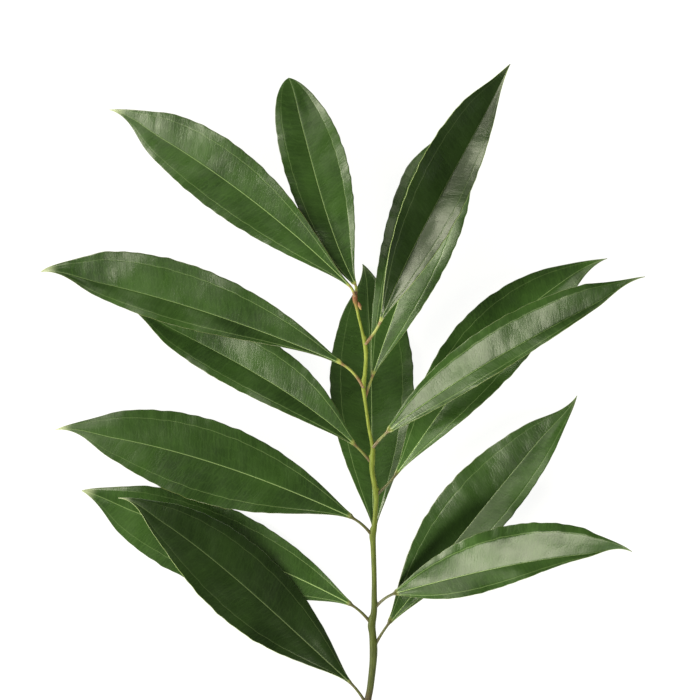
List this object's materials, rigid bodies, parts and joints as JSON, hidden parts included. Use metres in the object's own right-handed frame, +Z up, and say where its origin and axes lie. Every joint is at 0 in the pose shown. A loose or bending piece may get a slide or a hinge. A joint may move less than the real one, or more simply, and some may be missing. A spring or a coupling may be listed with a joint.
{
  "type": "cocculus branch",
  "caption": "Cut branch of an evergreen shrub lying flat: a thin zigzag green stem with long glossy three-veined leaves on both sides.",
  "frame": {"origin": "middle of the branch's outline seen from above, on the surface that it lies on", "axes": "+Y along the branch from the cut end to the tip, +X to the right seen from above with the tip away from the viewer, +Z up from the surface"},
  "size_m": [0.2589, 0.2831, 0.0294],
  "materials": {
    "leaf_blade": "leathery leaf skin, dark green, glossy",
    "stem_skin": "smooth young bark, yellow-green, satin",
    "bud_scales": "dry bud scales, brown, matt"
  },
  "bodies": {
    "root": {"stem": "stem_skin", "terminal_bud": "bud_scales", "leaf_01": "leaf_blade", "leaf_02": "leaf_blade", "leaf_03": "leaf_blade", "leaf_04": "leaf_blade", "leaf_05": "leaf_blade", "leaf_06": "leaf_blade", "leaf_07": "leaf_blade", "leaf_08": "leaf_blade", "leaf_09": "leaf_blade", "leaf_10": "leaf_blade", "leaf_11": "leaf_blade", "leaf_12": "leaf_blade", "leaf_13": "leaf_blade", "leaf_14": "leaf_blade"}
  },
  "joints": []
}
